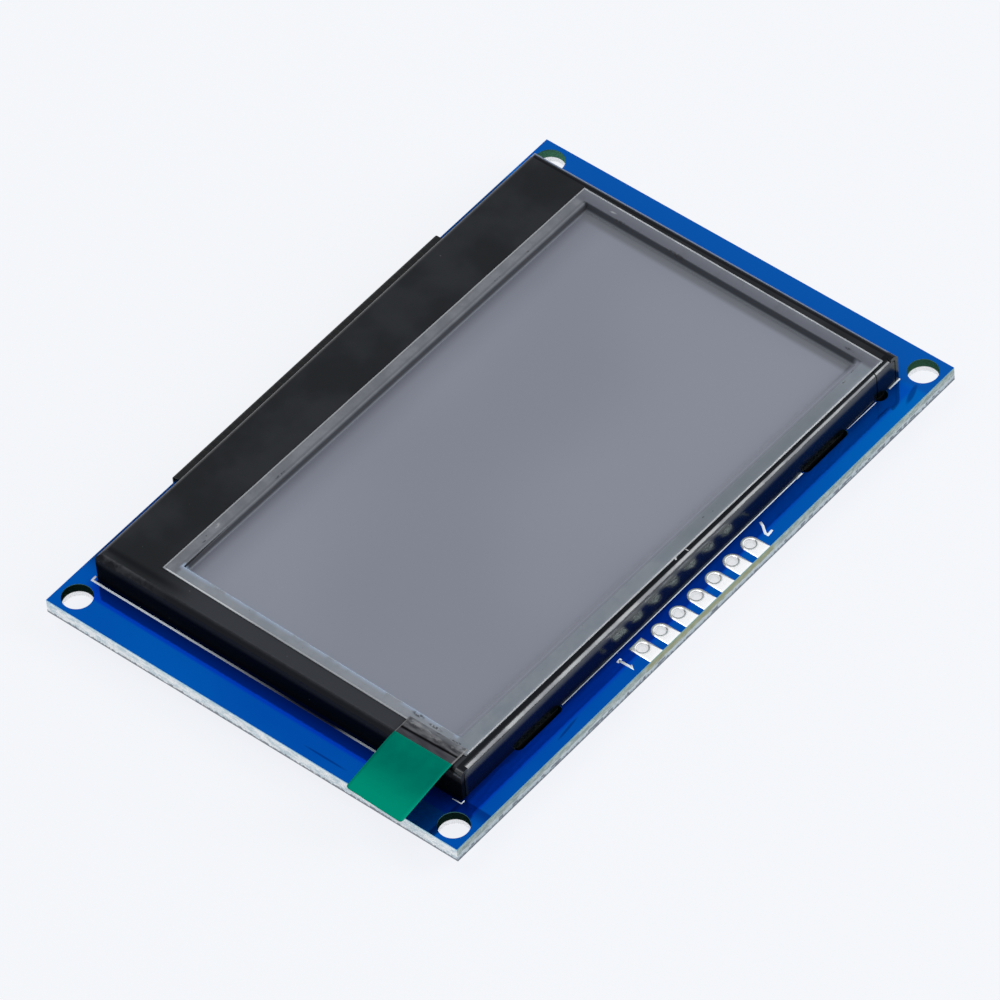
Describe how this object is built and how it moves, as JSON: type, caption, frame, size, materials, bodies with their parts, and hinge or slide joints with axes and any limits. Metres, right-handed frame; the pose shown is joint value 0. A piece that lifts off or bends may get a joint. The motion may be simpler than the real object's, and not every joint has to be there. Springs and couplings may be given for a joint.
{
  "type": "oled display module",
  "caption": "Rectangular graphic display module: glass panel in a folded black metal frame on a blue circuit board with corner holes, a solder-pad row and a wrapped flexible circuit.",
  "frame": {"origin": "centre of the rectangle of corner holes, on the back face of the circuit board", "axes": "+X along the long side of the board, +Y from the pin row to the flexible circuit, +Z out of the screen"},
  "size_m": [0.0725, 0.0484, 0.007],
  "materials": {
    "solder_mask": "glossy blue solder mask over glass-fibre laminate",
    "black_steel": "satin black coating on thin steel sheet",
    "foam_tape": "black double-sided foam tape",
    "cover_glass": "grey back glass of the display panel",
    "display_glass": "dark clear glass of the display panel",
    "polarizer_sheet": "dark glossy polarizer sheet",
    "silicon": "polished dark silicon",
    "black_polyimide": "satin black flexible circuit",
    "solder": "bright tin solder on copper",
    "clear_film": "clear glossy protective film",
    "green_film": "green translucent plastic strip",
    "ferrite": "dark grey sintered ferrite",
    "copper_wire": "enamelled copper wire",
    "moulded_package": "black moulded package",
    "capacitor_body": "tan ceramic with tinned end caps",
    "resistor_body": "black glazed ceramic with tinned end caps"
  },
  "bodies": {
    "root": {"boost_converter": "moulded_package", "bulk_capacitor_1": "capacitor_body", "bulk_capacitor_2": "capacitor_body", "ceramic_capacitor_1": "capacitor_body", "ceramic_capacitor_2": "capacitor_body", "ceramic_capacitor_3": "capacitor_body", "ceramic_capacitor_4": "capacitor_body", "circuit_board": "solder_mask", "display_flex": "black_polyimide", "driver_chip": "silicon", "flex_joints": "solder", "frame_gasket": "foam_tape", "front_frame": "black_steel", "header_pad_1": "solder", "header_pad_2": "solder", "header_pad_3": "solder", "header_pad_4": "solder", "header_pad_5": "solder", "header_pad_6": "solder", "header_pad_7": "solder", "inductor_coil": "copper_wire", "inductor_core": "ferrite", "panel_cap": "cover_glass", "panel_glass": "display_glass", "panel_tape": "foam_tape", "polarizer": "polarizer_sheet", "protective_film": "clear_film", "pull_tab": "green_film", "rectifier_diode": "moulded_package", "resistor_1": "resistor_body", "resistor_2": "resistor_body", "resistor_3": "resistor_body", "resistor_4": "resistor_body", "resistor_5": "resistor_body", "resistor_6": "resistor_body", "resistor_7": "resistor_body", "resistor_8": "resistor_body", "small_capacitor_1": "capacitor_body", "small_capacitor_2": "capacitor_body", "small_capacitor_3": "capacitor_body", "small_capacitor_4": "capacitor_body", "voltage_regulator": "moulded_package"}
  },
  "joints": []
}
